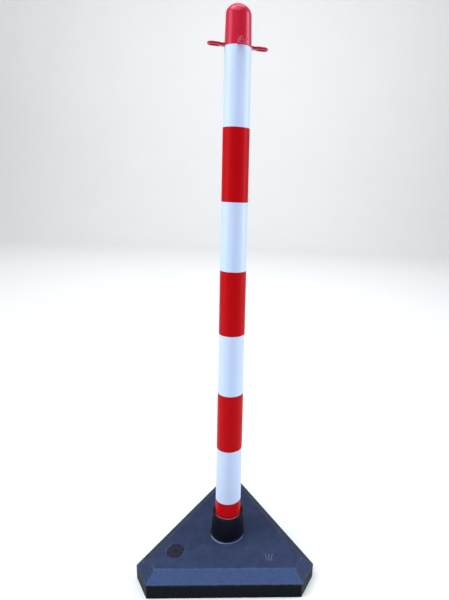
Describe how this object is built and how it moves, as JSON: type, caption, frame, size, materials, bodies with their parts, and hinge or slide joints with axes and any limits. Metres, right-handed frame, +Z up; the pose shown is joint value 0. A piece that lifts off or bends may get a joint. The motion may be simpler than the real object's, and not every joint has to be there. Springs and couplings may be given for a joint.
{
  "type": "plastic chain stanchion",
  "caption": "Free-standing barrier post: tapered white and red banded tube in a collar on a three-sided ballast base, with a domed cap and chain loops.",
  "frame": {"origin": "on the ground, under the post's axis", "axes": "+Z up along the post, -Y out of the base's front side, +X to the right seen from the front"},
  "size_m": [0.2944, 0.2555, 0.865],
  "materials": {
    "base_rubber": "matt, mottled recycled rubber",
    "collar_plastic": "smooth moulded",
    "white_plastic": "satin moulded",
    "red_film": "satin film",
    "red_plastic": "glossy moulded"
  },
  "bodies": {
    "base": {"ballast_base": "base_rubber", "socket_collar": "collar_plastic"},
    "plug": {"post_foot_plug": "collar_plastic"},
    "post": {"post_tube": "white_plastic", "red_film_1": "red_film", "red_film_2": "red_film", "red_film_3": "red_film", "red_film_4": "red_film"},
    "cap": {"loop_cap": "red_plastic"}
  },
  "joints": [
    {"name": "post_lift", "type": "slide", "parent": "base", "child": "plug", "axis": [0, 0, 1], "range_m": [0, 0.12]},
    {"name": "post_turn", "type": "hinge", "parent": "plug", "child": "post", "pos_m": [0, 0, 0.4], "axis": [0, 0, 1], "continuous": true},
    {"name": "cap_pull", "type": "slide", "parent": "post", "child": "cap", "axis": [0, 0, 1], "range_m": [0, 0.04]}
  ]
}
